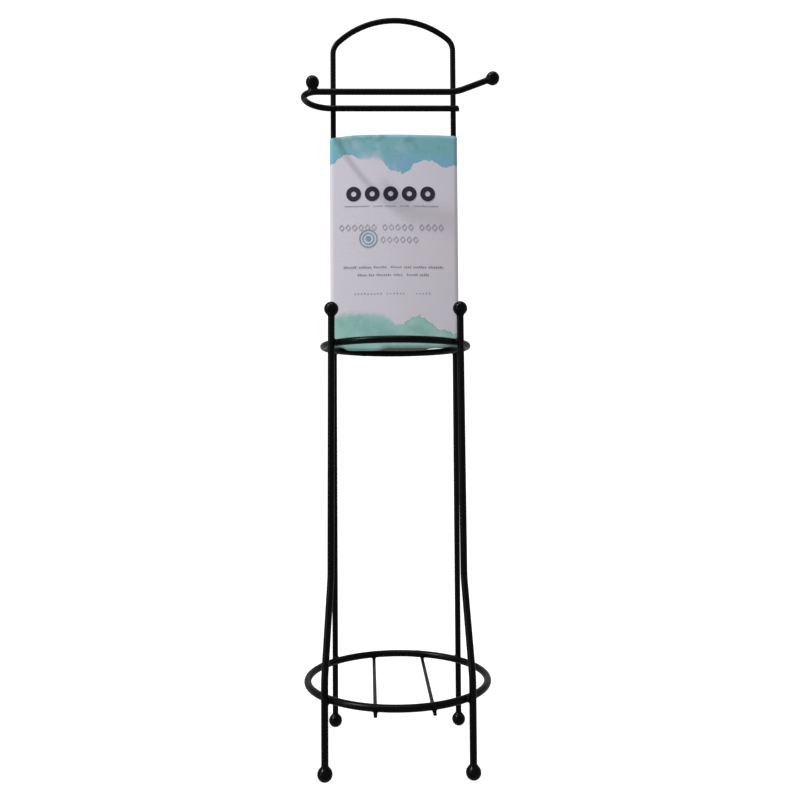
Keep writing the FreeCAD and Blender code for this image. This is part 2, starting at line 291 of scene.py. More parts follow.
forward = Vector((0, 1, 0))
leftCorner, leftTurn = hoopCorner(-1)
rightCorner, rightTurn = hoopCorner(1)
leftFoot = Vector((-hoopX, hoopY, hoopLow.z))
rightFoot = Vector((hoopX, hoopY, hoopLow.z))
leftOnLeg = leftCorner - Vector((hoop["cornerRadius"] * mm, 0, 0))
leftOnArch = archCentre + (leftCorner - archCentre).normalized() * hoop["archRadius"] * mm
rightOnArch = archCentre + (rightCorner - archCentre).normalized() * hoop["archRadius"] * mm
rightOnLeg = rightCorner + Vector((hoop["cornerRadius"] * mm, 0, 0))
hoopPath = (
    straightRun(leftFoot, leftOnLeg)
    + arcBetween(leftCorner, leftOnLeg, forward, leftTurn)
    + arcBetween(archCentre, leftOnArch, forward, math.pi - leftTurn - rightTurn)
    + arcBetween(rightCorner, rightOnArch, forward, rightTurn)
    + straightRun(rightOnLeg, rightFoot) + [rightFoot]
)
finishPiece(wireMesh("rearHoop", hoopPath, hoopWire), "stand", "painted_wire", "rear_hoop")

# front legs: upright through the mid ring, kinked forward above the bottom ring
frontLeg = {
    "wire": 5.7,
    "topX": 53.5,
    "upperKinkX": 54.7,
    "upperKink": 150.0,     # heights of the two kinks
    "lowerKink": 78.0,
    "bend": 26.0,
}
legWire = frontLeg["wire"] / 2 * mm
legPaths = {}
for side, hand in ((-1, "left"), (1, "right")):
    legLow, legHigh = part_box(f"front_leg_{hand}")
    footX = centreOf(f"foot_ball_front_{hand}").x
    footY = legLow.y + legWire
    topY = legHigh.y - legWire
    upperKink = Vector((side * frontLeg["upperKinkX"] * mm, topY, frontLeg["upperKink"] * mm))
    lowerKink = Vector((footX, footY, frontLeg["lowerKink"] * mm))
    top = Vector((side * frontLeg["topX"] * mm, topY, legHigh.z))
    corners = [Vector((footX, footY, legLow.z)), lowerKink, upperKink, top]
    legPaths[hand] = bentPath(corners, frontLeg["bend"] * mm)
    leg = wireMesh(f"frontLeg_{hand}", legPaths[hand], legWire)
    finishPiece(leg, "stand", "painted_wire", f"front_leg_{hand}")

# roll arm: rear bar, U-bend at the left, front bar, kinked-up tip
arm = {
    "wire": 5.5,
    "rearEndX": 59.2,
    "rearBend": 24.0,
    "frontBend": 13.5,
    "kinkX": 55.5,
    "kinkBend": 38.0,
    "tipX": 88.2,
    "tipRise": 12.3,
}
ballInset = 1.0 * mm    # how far short of a ball's centre its wire stops
armWire = arm["wire"] / 2 * mm
armLow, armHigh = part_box("roll_arm")
armZ = armLow.z + armWire
armRearY = armHigh.y - armWire
armFarX = armLow.x + armWire
armBendY = armRearY - arm["rearBend"] * mm
armFrontY = armBendY - arm["frontBend"] * mm
upward = Vector((0, 0, 1))
rearBendCentre = Vector((armFarX + arm["rearBend"] * mm, armBendY, armZ))
frontBendCentre = Vector((armFarX + arm["frontBend"] * mm, armBendY, armZ))
armTip = Vector((arm["tipX"] * mm, armFrontY, armZ + arm["tipRise"] * mm))
armKink = Vector((arm["kinkX"] * mm, armFrontY, armZ))
tipDirection = (armTip - armKink).normalized()
armRearEnd = Vector((arm["rearEndX"] * mm, armRearY, armZ))
rearBendStart = rearBendCentre + forward * arm["rearBend"] * mm
frontBendStart = Vector((armFarX, armBendY, armZ))
frontBendEnd = frontBendCentre - forward * arm["frontBend"] * mm
armPath = (
    straightRun(armRearEnd, rearBendStart)
    + arcBetween(rearBendCentre, rearBendStart, upward, math.pi / 2)
    + arcBetween(frontBendCentre, frontBendStart, upward, math.pi / 2)
    + bentPath([frontBendEnd, armKink, armTip - tipDirection * ballInset], arm["kinkBend"] * mm)
)
finishPiece(wireMesh("rollArm", armPath, armWire), "stand", "painted_wire", "roll_arm")

# cross wires under the bottom ring
crossWire = {"wire": 3.0, "spacing": 45.0, "shift": 2.9, "length": 147.0, "skew": 1.2}
crossRadius = crossWire["wire"] / 2 * mm
skewAngle = math.radians(crossWire["skew"])
crossAlong = Vector((-math.sin(skewAngle), math.cos(skewAngle), 0))
crossMiddles = {}
for side, hand in ((-1, "left"), (1, "right")):
    height = centreOf(f"cross_wire_{hand}").z
    middle = Vector(((side * crossWire["spacing"] / 2 + crossWire["shift"]) * mm, 0, height))
    reach = crossAlong * crossWire["length"] / 2 * mm
    crossMiddles[hand] = middle
    rodPath = straightRun(middle - reach, middle + reach) + [middle + reach]
    rod = wireMesh(f"crossWire_{hand}", rodPath, crossRadius)
    finishPiece(rod, "stand", "painted_wire", f"cross_wire_{hand}")
print("wires are ready")


# balls and welds are smooth skins drawn round a distance field, negative inside the metal
skinLook = {
    "passes": 6,            # times that the points are pulled on to the surface
    "probe": 1e-5,          # m, half the span that the field's slope is measured over
    "flattest": 0.3,        # slopes under this are taken as this, so that no point flies off
}


def alongLine(points, origin, direction, radius):
    # distance to a long straight wire
    offset = points - np.array(origin)
    along = offset @ np.array(direction)
    return np.linalg.norm(offset - along[:, None] * np.array(direction), axis=1) - radius


def halfLine(points, origin, direction, radius):
    # distance to a wire that starts at a round end
    offset = points - np.array(origin)
    along = np.clip(offset @ np.array(direction), 0, None)
    return np.linalg.norm(offset - along[:, None] * np.array(direction), axis=1) - radius


def roundRing(points, centre, ringRadius, wireRadius):
    offset = points - np.array(centre)
    return np.hypot(np.hypot(offset[:, 0], offset[:, 1]) - ringRadius, offset[:, 2]) - wireRadius


def roundBall(points, centre, radius):
    return np.linalg.norm(points - np.array(centre), axis=1) - radius


def softUnion(a, b, fillet):
    # the two shapes, with metal drawn into the corner between them
    near = np.clip(fillet - np.abs(a - b), 0, None) / fillet
    return np.minimum(a, b) - near * near * fillet / 4


def skinOf(field, centre, reach, step):
    # surface-nets skin of field < 0 inside a cube, snapped onto the exact surface
    count = int(round(2 * reach / step)) + 1
    axis = np.linspace(-reach, reach, count)
    grid = np.stack(np.meshgrid(axis, axis, axis, indexing="ij"), -1).reshape(-1, 3) + np.array(centre)
    values = field(grid).reshape(count, count, count)
    inside = values < 0
    cells = np.zeros((count - 1,) * 3, int)
    for dx in (0, 1):
        for dy in (0, 1):
            for dz in (0, 1):
                cells += inside[dx:count - 1 + dx, dy:count - 1 + dy, dz:count - 1 + dz]
    mixed = (cells > 0) & (cells < 8)
    index = -np.ones(mixed.shape, int)
    index[mixed] = np.arange(mixed.sum())
    points = (np.argwhere(mixed) + 0.5) * (axis[1] - axis[0]) - reach + np.array(centre)
    probe = skinLook["probe"]
    for _ in range(skinLook["passes"]):
        value = field(points)
        gradient = np.stack([
            (field(points + shift) - field(points - shift)) / (2 * probe)
            for shift in np.eye(3) * probe
        ], -1)
        length = np.clip((gradient ** 2).sum(1), skinLook["flattest"], None)
        points = points - np.clip(value / length, -step, step)[:, None] * gradient
    faces = []
    for a, b, c in ((0, 1, 2), (1, 2, 0), (2, 0, 1)):
        near = np.moveaxis(inside, a, 0)
        cellIndex = np.moveaxis(index, a, 0)
        crossing = np.argwhere(near[:-1] != near[1:])
        others = [d for d in (0, 1, 2) if d != a]
        for i, j, k in crossing:
            if not (0 < j < count - 1 and 0 < k < count - 1):
                continue
            quad = [
                cellIndex[i, j - 1, k - 1],
                cellIndex[i, j, k - 1],
                cellIndex[i, j, k],
                cellIndex[i, j - 1, k],
            ]
            outward = bool(near[i, j, k]) != (others == [0, 2])
            faces.append(quad if outward else quad[::-1])
    return points, faces


ballLook = {
    "radius": 6.0,
    "neck": 1.7,            # mm, fillet of coat and braze where the wire goes into the ball
    "sink": 0.05,           # mm that a skin lies inside the wire it runs out on
    "step": 0.55,           # mm between skin points
    "neckReach": 9.0,       # mm from the ball's centre to where its skin ends
    "margin": 1.0,          # mm of empty grid round the skin
}


def ballPiece(name, node, centre, wireDirection, wireRadius, hasFlat=False):
    radius = ballLook["radius"] * mm
    sink = ballLook["sink"] * mm

    def field(points):
        ball = roundBall(points, centre, radius)
        wire = halfLine(points, centre, wireDirection, wireRadius - sink)
        body = softUnion(ball, wire, ballLook["neck"] * mm)
        along = (points - np.array(centre)) @ np.array(wireDirection)
        body = np.maximum(body, along - ballLook["neckReach"] * mm)
        return np.maximum(body, -points[:, 2]) if hasFlat else body

    points, faces = skinOf(
        field, centre, (ballLook["neckReach"] + ballLook["margin"]) * mm, ballLook["step"] * mm)
    return finishPiece(addMesh(name, points, faces, ballCoat), "stand", "painted_ball", node)


for hand in ("left", "right"):
    legPath = legPaths[hand]
    topDirection = (legPath[-2] - legPath[-1]).normalized()
    topCentre = legPath[-1] - topDirection * ballInset
    ballPiece(f"legTopBall_{hand}", f"leg_top_ball_{hand}", topCentre, topDirection, legWire)
    frontFoot = Vector((legPath[0].x, legPath[0].y, legPath[0].z - ballInset))
    ballPiece(f"footBallFront_{hand}", f"foot_ball_front_{hand}", frontFoot, upward, legWire, True)
    rearEnd = leftFoot if hand == "left" else rightFoot
    rearFoot = rearEnd - upward * ballInset
    ballPiece(f"footBallRear_{hand}", f"foot_ball_rear_{hand}", rearFoot, upward, hoopWire, True)
ballPiece("armEndBall", "arm_end_ball", armTip, -tipDirection, armWire)
print("balls are ready")

weldLook = {
    "fillet": 3.2,          # mm, how far the metal is drawn into the corner
    "thinFillet": 2.4,      # mm, at the thin cross wires
    "reach": 6.0,           # mm round the joint
    "cut": 0.95,            # share of the reach at which the metal ends
    "step": 0.6,
    "sink": 0.05,           # mm that the skin lies inside the wires
}


def weldSkin(centre, shapeA, shapeB, fillet):
    sink = weldLook["sink"] * mm
    reach = weldLook["reach"] * mm

    def field(points):
        joined = softUnion(shapeA(points), shapeB(points), fillet * mm) + sink
        return np.maximum(joined, roundBall(points, centre, reach * weldLook["cut"]))

    return skinOf(field, centre, reach, weldLook["step"] * mm)


def joinWelds(name, skins, *nodes):
    points, faces = [], []
    for skinPoints, skinFaces in skins:
        start = len(points)
        points += list(skinPoints)
        faces += [[start + i for i in face] for face in skinFaces]
    return finishPiece(addMesh(name, points, faces, weldCoat), "stand", "painted_weld", *nodes)


def ringShape(centre, radius):
    return lambda points: roundRing(points, centre, radius, ringWire)


def wireShape(point, direction, radius):
    return lambda points: alongLine(points, point, direction, radius)


midWelds, bottomWelds, armWelds, crossWelds = [], [], [], []
for side, hand in ((-1, "left"), (1, "right")):
    legPath = legPaths[hand]
    legUp = (legPath[-1] - legPath[-2]).normalized()
    legAtMid = legPath[-1] + legUp * ((midCentre.z - legPath[-1].z) / legUp.z)
    legAtBottom = Vector((legPath[0].x, legPath[0].y, bottomCentre.z))
    hoopAt = Vector((side * hoopX, hoopY, 0))
    uprights = (
        (hoopAt, hoopAt, upward, hoopWire),
        (legAtMid, legAtBottom, legUp, legWire),
    )
    for atMid, atBottom, lean, wireRadius in uprights:
        for skins, ringCentre, radius, at, direction in (
            (midWelds, midCentre, midRadius, atMid, lean),
            (bottomWelds, bottomCentre, bottomRadius, atBottom, upward),
        ):
            level = Vector((at.x, at.y, ringCentre.z))
            touch = ringCentre + (level - ringCentre).normalized() * (radius + ringWire)
            skins.append(weldSkin(touch, ringShape(ringCentre, radius),
                                  wireShape(level, direction, wireRadius), weldLook["fillet"]))
    armTouch = Vector((side * hoopX, armRearY + armWire, armZ))
    rearBar = wireShape(Vector((0, armRearY, armZ)), Vector((1, 0, 0)), armWire)
    armWelds.append(weldSkin(armTouch, rearBar, wireShape(hoopAt, upward, hoopWire), weldLook["fillet"]))
    middle = crossMiddles[hand]
    halfChord = math.sqrt(bottomRadius ** 2 - (middle.x * crossAlong.y) ** 2)
    for direction in (-1, 1):
        along = direction * halfChord - middle.dot(crossAlong)
        touch = middle + crossAlong * along + upward * crossRadius
        crossWelds.append(weldSkin(touch, ringShape(bottomCentre, bottomRadius),
                                   wireShape(middle, crossAlong, crossRadius), weldLook["thinFillet"]))
joinWelds("midRingWelds", midWelds, "mid_ring_welds")
joinWelds("bottomRingWelds", bottomWelds, "bottom_ring_welds")
joinWelds("armWelds", armWelds, "arm_welds")
joinWelds("crossWireWelds", crossWelds, "cross_wire_welds")

# the stop ball sits on the bend, brazed to it by a short neck
stopLook = {
    "fillet": 3.4,          # mm
    "cut": 9.5,             # mm from the ball's centre to where its skin ends
    "reach": 10.0,
}
stopCentre = centreOf("arm_stop_ball")


def stopField(points):
    ball = roundBall(points, stopCentre, ballLook["radius"] * mm)
    bend = roundRing(points, frontBendCentre, arm["frontBend"] * mm, armWire) + ballLook["sink"] * mm
    joined = softUnion(ball, bend, stopLook["fillet"] * mm)
    return np.maximum(joined, roundBall(points, stopCentre, stopLook["cut"] * mm))


stopPoints, stopFaces = skinOf(stopField, stopCentre, stopLook["reach"] * mm, ballLook["step"] * mm)
finishPiece(addMesh("armStopBall", stopPoints, stopFaces, ballCoat), "stand", "painted_ball",
            "arm_stop_ball", "stop_ball_weld")
print("welds are ready")


# card sleeve: one sheet folded round the hoop's legs and lapped at the back
card = {
    "thickness": 0.5,
    "foldRadius": 4.4,
    "frontBow": 3.5,
    "backBow": 8.0,
    "lap": 18.0,            # mm of glued overlap on the back
    "lapEdgeX": 36.0,       # where the outer end of the sheet lies
    "glue": 0.06,           # mm between the two ends
    "joggle": (-5.0, 4.0),  # mm, where the outer end starts to rise before the lap, and over how far
    "wave": 0.18,           # mm, hand-folded card is never quite flat
    "rows": 66,
    "columnStep": 2.0,      # mm along the panels
    "foldSteps": 14,
}
# how the sheet was cut by hand, in mm: how far an edge hangs, and from where to where
cardCut = {
    "frontHang": 1.1,
    "frontSpan": (-46, 46),
    "leftHang": 2.4,
    "leftSpan": (-46, -12),
    "backHang": 1.6,
    "backSpan": (-30, 30),
    "topSlack": 0.4,
    "leftDroop": 2.2,
    "rightDroop": 0.5,
}
sleeveLow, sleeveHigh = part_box("card_sleeve")
thickness = card["thickness"] * mm
foldRadius = card["foldRadius"] * mm
foldX = sleeveHigh.x - foldRadius
sleeveBottom, sleeveTop = sleeveLow.z, sleeveHigh.z


def panelArc(facing, bow):
    # centre and outer radius of a bowed panel
    offset = (foldX ** 2 - bow ** 2) / (2 * bow)
    return hoopY - facing * offset, math.hypot(foldX, offset) + foldRadius


frontCentreY, frontRadius = panelArc(-1, card["frontBow"] * mm)
backCentreY, backRadius = panelArc(1, card["backBow"] * mm)


def frontY(x, proud=0.0):
    return frontCentreY - math.sqrt((frontRadius + proud) ** 2 - x ** 2)


def planOutline():
    # outer face of the sheet in plan, as (point, outward): back, right fold, front, left fold, back again
    places = []

    def panel(centreY, radius, fromX, toX, facing, lift=lambda x: 0.0):
        count = round(abs(toX - fromX) / (card["columnStep"] * mm))
        for i in range(count + 1):
            x = fromX + (toX - fromX) * i / count
            rise = math.sqrt(radius ** 2 - x ** 2)
            outward = Vector((x, facing * rise)).normalized()
            places.append((Vector((x, centreY + facing * rise)) + outward * lift(x), outward))

    def fold(side, fromAngle, toAngle):
        steps = card["foldSteps"]
        for i in range(1, steps):
            angle = fromAngle + (toAngle - fromAngle) * i / steps
            outward = Vector((math.cos(angle), math.sin(angle)))
            places.append((Vector((side * foldX, hoopY)) + outward * foldRadius, outward))

    frontTilt = math.asin(foldX / (frontRadius - foldRadius))
    backTilt = math.asin(foldX / (backRadius - foldRadius))
    frontEdge = foldX + foldRadius * math.sin(frontTilt)
    backEdge = foldX + foldRadius * math.sin(backTilt)
    lapEdge = card["lapEdgeX"] * mm
    lapStart = lapEdge - card["lap"] * mm
    panel(backCentreY, backRadius, lapStart, backEdge, 1)
    fold(1, math.pi / 2 - backTilt, -math.pi / 2 + frontTilt)
    panel(frontCentreY, frontRadius, frontEdge, -frontEdge, -1)
    fold(-1, -math.pi / 2 - frontTilt, -3 * math.pi / 2 + backTilt)

    def joggle(x):
        # the outer end rides up over the inner one
        start, run = card["joggle"]
        share = min(1.0, max(0.0, (x - lapStart - start * mm) / (run * mm)))
        return (thickness + card["glue"] * mm) * share * share * (3 - 2 * share)

    panel(backCentreY, backRadius, -backEdge, lapEdge, 1, joggle)
    return places


def smoothBump(value, centre, width):
    return math.exp(-((value - centre) / width) ** 2)


def between(value, start, end, soft):
    # 1 between start and end, falling smoothly to 0 either side, all in mm
    rise = 1 / (1 + math.exp(-(value / mm - start) / soft))
    fall = 1 / (1 + math.exp((value / mm - end) / soft))
    return rise * fall


def bottomEdge(point):
    # lower between the places where it rests on the ring, and lowest at the front's left half
    if point.y < hoopY:
        middle = -cardCut["frontHang"] * mm * between(point.x, *cardCut["frontSpan"], 1.2)
        return middle - cardCut["leftHang"] * mm * between(point.x, *cardCut["leftSpan"], 1.6)
    return -cardCut["backHang"] * mm * between(point.x, *cardCut["backSpan"], 2.0)


def topEdge(point):
    # the top droops towards its left corner
    left = cardCut["leftDroop"] * mm * smoothBump(point.x, -62 * mm, 17 * mm)
    right = cardCut["rightDroop"] * mm * smoothBump(point.x, 62 * mm, 5 * mm)
    return -cardCut["topSlack"] * mm - left - right


def cardSheet():
    places = planOutline()
    rows = card["rows"]
    points, faces = [], []
    for layer in (0, 1):
        for row in range(rows + 1):
            share = row / rows
            for place, outward in places:
                low = sleeveBottom + bottomEdge(place)
                high = sleeveTop + topEdge(place)
                z = low + (high - low) * share
                ripple = math.sin(place.x / (19 * mm) + 4.0 * share) * math.sin(3.1 * share + 0.6)
                loose = 1 - abs(place.x) / foldX if abs(place.x) < foldX else 0
                inset = thickness if layer else 0.0
                spot = place + outward * (card["wave"] * mm * ripple * loose - inset)
                points.append((spot.x, spot.y, z))
    wide = len(places)
    inner = wide * (rows + 1)
    for row in range(rows):
        for column in range(wide - 1):
            a = row * wide + column
            faces.append((a, a + wide, a + wide + 1, a + 1))
            faces.append((inner + a, inner + a + 1, inner + a + wide + 1, inner + a + wide))
    for column in range(wide - 1):
        a, b = column, rows * wide + column
        faces.append((a, a + 1, inner + a + 1, inner + a))
        faces.append((b, inner + b, inner + b + 1, b + 1))
    for row in range(rows):
        a, b = row * wide, row * wide + wide - 1
        faces.append((a, inner + a, inner + a + wide, a + wide))
        faces.append((b, b + wide, inner + b + wide, inner + b))
    # 0 is the printed side, 1 the inside and 2 the cut edges
    kinds = [0, 1] * (rows * (wide - 1)) + [2] * (2 * (wide - 1) + 2 * rows)
    return points, faces, kinds


# Folding boxboard, offset printed with watercolour washes: matt with a faint sheen from its coating, cool
# lilac-grey where it is bare, the pigment gathered darker along the edge of each wash.
printLook = {
    "bare": "#d9d6e0",
    "bareWarm": "#dad3dc",
    "teal": "#75b5be",
    "tealDeep": "#5c9c9b",
    "blue": "#75b0cb",
    "pale": "#b9cbda",
    "blueRim": "#5f9cbf",
    "green": "#9bccc2",
    "greenDeep": "#82bbb1",
    "mist": "#b9d2d0",
    "greenRim": "#6f9f9a",
    "washStrength": 0.95,
    "roughness": 0.62,
    "fibre": "#b4b1bb",
    "fibreSize": 0.7,       # mm, coarsened about three times so that it shows
    "raggedSize": 5.0,      # mm
    "ragged": 5.0,          # mm from the highest to the lowest tongue of a wash's edge
    "bleedX": -21.0,        # mm, the middle of the stretch where the upper wash bleeds out
    "fibreDepth": 0.03,     # mm
}
washSpan = 50.0             # mm in from an edge of the card, more than either wash reaches
# how far each wash reaches in from its edge of the card in mm, along the card's width from 0 to 1
upperWash = [(0, 27), (0.13, 19), (0.27, 26), (0.38, 25), (0.48, 34), (0.61, 36), (0.68, 28), (0.83, 25),
             (0.92, 31), (1, 29)]
lowerWash = [(0, 33), (0.17, 35), (0.34, 34), (0.45, 30), (0.53, 22), (0.61, 24), (0.69, 29), (0.78, 24),
             (0.87, 17), (0.93, 15), (1, 12)]


def clouds(tree, place, size, seed):
    # soft clouds of pigment, this many mm across
    moved = addNode(tree, "ShaderNodeMapping", {"Vector": place, "Location": (seed, seed * 2, -seed)})
    noise = addNode(tree, "ShaderNodeTexNoise", {
        "Vector": moved.outputs[0], "Scale": 1 / (size * mm), "Detail": 5.0, "Roughness": 0.6})
    return noise.outputs["Fac"]


def washDepth(tree, across, ragged, fromEdge, reach):
    # mm inside the painted edge of a wash, negative outside it
    share = addNode(tree, "ShaderNodeMapRange", {"Value": across, "From Min": -foldX, "From Max": foldX})
    curve = addNode(tree, "ShaderNodeFloatCurve", {"Value": share.outputs["Result"]})
    line = curve.mapping.curves[0]
    while len(line.points) < len(reach):
        line.points.new(0.5, 0.5)
    for point, (x, depth) in zip(line.points, reach):
        point.location = (x, depth / washSpan)
    curve.mapping.update()
    shore = addNode(tree, "ShaderNodeMath", {
        0: curve.outputs[0], 1: washSpan, 2: ragged}, operation="MULTIPLY_ADD")
    inside = addNode(tree, "ShaderNodeMath", {0: shore.outputs[0], 1: fromEdge}, operation="SUBTRACT")
    return inside.outputs[0]


def layPigment(tree, base, pigment, value, start, end, strength=1.0, within=1.0):
    # a layer of pigment over the base, growing to its strength as the value goes from start to end
    amount = addNode(tree, "ShaderNodeMapRange", {
        "Value": value, "From Min": start, "From Max": end, "To Max": strength,
    }, interpolation_type="SMOOTHSTEP")
    kept = addNode(tree, "ShaderNodeMath", {0: amount.outputs["Result"], 1: within}, operation="MULTIPLY")
    layer = addNode(tree, "ShaderNodeMix", {"Factor": kept.outputs[0], 6: base, 7: pigment}, data_type="RGBA")
    return layer.outputs[2]


def printedCard(name, look):
    material, tree = startMaterial(name)
    place = addNode(tree, "ShaderNodeTexCoord").outputs["Object"]
    parts = addNode(tree, "ShaderNodeSeparateXYZ", {0: place})
    across, height = parts.outputs["X"], parts.outputs["Z"]
    tone = {key: hexLinear(value) for key, value in look.items() if isinstance(value, str)}
    blots = clouds(tree, place, 24, 4.1)
    wisps = clouds(tree, place, 13, 7.7)
    ragged = addNode(tree, "ShaderNodeMapRange", {
        "Value": clouds(tree, place, look["raggedSize"], 0.3),
        "To Min": -look["ragged"], "To Max": look["ragged"]}).outputs["Result"]
    # mm down from the top edge and up from the bottom edge
    hang = addNode(tree, "ShaderNodeMapRange", {
        "Value": height, "From Min": sleeveTop, "From Max": sleeveTop - washSpan * mm, "To Max": washSpan,
    }, clamp=False)
    rise = addNode(tree, "ShaderNodeMapRange", {
        "Value": height, "From Min": sleeveBottom, "From Max": sleeveBottom + washSpan * mm,
        "To Max": washSpan}, clamp=False)
    hang, rise = hang.outputs["Result"], rise.outputs["Result"]
    upper = washDepth(tree, across, ragged, hang, upperWash)
    lower = washDepth(tree, across, ragged, rise, lowerWash)

    bare = layPigment(tree, tone["bare"], tone["bareWarm"], clouds(tree, place, 60, 1.7), 0.35, 0.7)
    # the upper wash goes from teal to blue on its way down, with green blots near the top
    tilted = addNode(tree, "ShaderNodeMath", {
        0: blots, 1: 24.0, 2: hang}, operation="MULTIPLY_ADD").outputs[0]
    nearTop = addNode(tree, "ShaderNodeMapRange", {
        "Value": hang, "From Min": 20.0, "From Max": 4.0}).outputs["Result"]
    sky = layPigment(tree, tone["teal"], tone["blue"], tilted, 24.0, 42.0)
    sky = layPigment(tree, sky, tone["tealDeep"], clouds(tree, place, 14, 2.2), 0.48, 0.62, 0.9, nearTop)
    sky = layPigment(tree, sky, tone["pale"], wisps, 0.5, 0.75, 0.4)
    sky = layPigment(tree, sky, tone["blueRim"], upper, 1.6, 0.2, 0.7)
    # left of the middle it bleeds out, pale and without a rim
    bleedPlace = addNode(tree, "ShaderNodeMath", {0: across, 1: look["bleedX"] * mm}, operation="SUBTRACT")
    bleedAway = addNode(tree, "ShaderNodeMath", {0: bleedPlace.outputs[0]}, operation="ABSOLUTE").outputs[0]
    nearShore = addNode(tree, "ShaderNodeMapRange", {"Value": upper, "From Min": 10.0, "From Max": 2.0})
    sky = layPigment(tree, sky, tone["pale"], bleedAway, 15 * mm, 6 * mm, 0.85, nearShore.outputs["Result"])
    # the lower wash stands like hills, misty on the left and crisp on the right
    crisp = addNode(tree, "ShaderNodeMapRange", {
        "Value": across, "From Min": -5 * mm, "From Max": 10 * mm}).outputs["Result"]
    hills = layPigment(tree, tone["green"], tone["greenDeep"], blots, 0.35, 0.65)
    hills = layPigment(tree, hills, tone["mist"], wisps, 0.48, 0.72, 0.5)
    hills = layPigment(tree, hills, tone["greenRim"], lower, 1.8, 0.2, 0.75, crisp)
    # how many mm each edge takes to fade in
    upperFade = addNode(tree, "ShaderNodeMapRange", {
        "Value": bleedAway, "From Min": 7 * mm, "From Max": 12 * mm, "To Min": 5.0, "To Max": 0.4})
    lowerFade = addNode(tree, "ShaderNodeMapRange", {"Value": crisp, "To Min": 8.0, "To Max": 0.4})
    inked = bare
    for wash, depth, fade in ((sky, upper, upperFade), (hills, lower, lowerFade)):
        cover = addNode(tree, "ShaderNodeMath", {0: depth, 1: fade.outputs["Result"]}, operation="DIVIDE")
        inked = layPigment(tree, inked, wash, cover.outputs[0], 0.0, 1.0, look["washStrength"])
    grain = clouds(tree, place, look["fibreSize"], 9.2)
    inked = layPigment(tree, inked, tone["fibre"], grain, 0.45, 0.75, 0.12)

    bump = addNode(tree, "ShaderNodeBump", {
        "Height": grain, "Strength": 0.25, "Distance": look["fibreDepth"] * mm})
    shader = addNode(tree, "ShaderNodeBsdfPrincipled", {
        "Base Color": inked, "Normal": bump.outputs["Normal"], "Roughness": look["roughness"], "IOR": 1.45,
        "Specular IOR Level": 0.35})
    addNode(tree, "ShaderNodeOutputMaterial", {"Surface": shader.outputs[0]})
    return material


# Uncoated recycled grey board inside: rough, matt, flecked with darker fibres that run along the sheet.
boardLook = {
    "colour": "#8f8c86",
    "edge": "#b9b4ab",      # freshly cut, so paler
    "fleck": "#6f6a62",
    "fleckSize": 0.9,       # mm
    "fleckDepth": 0.05,     # mm
    "roughness": 0.92,
}


def greyBoard(name, colour, look):
    material, tree = startMaterial(name)
    place = addNode(tree, "ShaderNodeTexCoord").outputs["Object"]
    stretched = addNode(tree, "ShaderNodeMapping", {"Vector": place, "Scale": (1.0, 1.0, 0.35)})
    flecks = addNode(tree, "ShaderNodeTexNoise", {
        "Vector": stretched.outputs[0], "Scale": 1 / (look["fleckSize"] * mm),
        "Detail": 4.0, "Roughness": 0.7})
    amount = addNode(tree, "ShaderNodeMapRange", {
        "Value": flecks.outputs["Fac"], "From Min": 0.42, "From Max": 0.7, "To Max": 0.8})
    tone = addNode(tree, "ShaderNodeMix", {
        "Factor": amount.outputs["Result"], 6: hexLinear(colour), 7: hexLinear(look["fleck"]),
    }, data_type="RGBA")
    bump = addNode(tree, "ShaderNodeBump", {
        "Height": flecks.outputs["Fac"], "Strength": 0.4, "Distance": look["fleckDepth"] * mm})
    shader = addNode(tree, "ShaderNodeBsdfPrincipled", {
        "Base Color": tone.outputs[2], "Normal": bump.outputs["Normal"], "Roughness": look["roughness"],
        "Specular IOR Level": 0.2})
    addNode(tree, "ShaderNodeOutputMaterial", {"Surface": shader.outputs[0]})
    return material


cardPoints, cardFaces, cardKinds = cardSheet()
sleeve = addMesh("cardSleeve", cardPoints, cardFaces, printedCard("offsetPrintedBoxboard", printLook))
sleeve.data.materials.append(greyBoard("uncoatedBoardInside", boardLook["colour"], boardLook))
sleeve.data.materials.append(greyBoard("cutBoardEdge", boardLook["edge"], boardLook))
for polygon, kind in zip(sleeve.data.polygons, cardKinds):
    polygon.material_index = kind
    polygon.use_smooth = kind < 2
finishPiece(sleeve, "sleeve", "printed_card", "card_sleeve")
print("card sleeve is ready")


# Print on the card's front is made as thin films that follow the panel.
# Offset ink, a thin even film dried matt into the coating: flat tone, faintly mottled where it took unevenly.
inkLook = {
    "mottleSize": 0.8,      # mm
    "roughness": 0.55,
    "specular": 0.3,
    # each ink's full tone, and the tone where it took thinly
    "dark": ("#23222f", "#343345"),
    "grey": ("#9d99a6", "#aba7b3"),
    "pale": ("#a5a2b0", "#b3b0bd"),
    "mid": ("#85828f", "#98959f"),
    "blue": ("#7fa0b4", "#95b4c4"),
}


def printedInk(tone):
    material, tree = startMaterial(f"{tone}OffsetInk")
    colour, mottle = inkLook[tone]
    place = addNode(tree, "ShaderNodeTexCoord").outputs["Object"]
    grain = addNode(tree, "ShaderNodeTexNoise", {
        "Vector": place, "Scale": 1 / (inkLook["mottleSize"] * mm), "Detail": 3.0})
    amount = addNode(tree, "ShaderNodeMapRange", {
        "Value": grain.outputs["Fac"], "From Min": 0.35, "From Max": 0.75, "To Max": 0.5})
    film = addNode(tree, "ShaderNodeMix", {
        "Factor": amount.outputs["Result"], 6: hexLinear(colour), 7: hexLinear(mottle)}, data_type="RGBA")
    shader = addNode(tree, "ShaderNodeBsdfPrincipled", {
        "Base Color": film.outputs[2], "Roughness": inkLook["roughness"],
        "Specular IOR Level": inkLook["specular"]})
    addNode(tree, "ShaderNodeOutputMaterial", {"Surface": shader.outputs[0]})
    return material


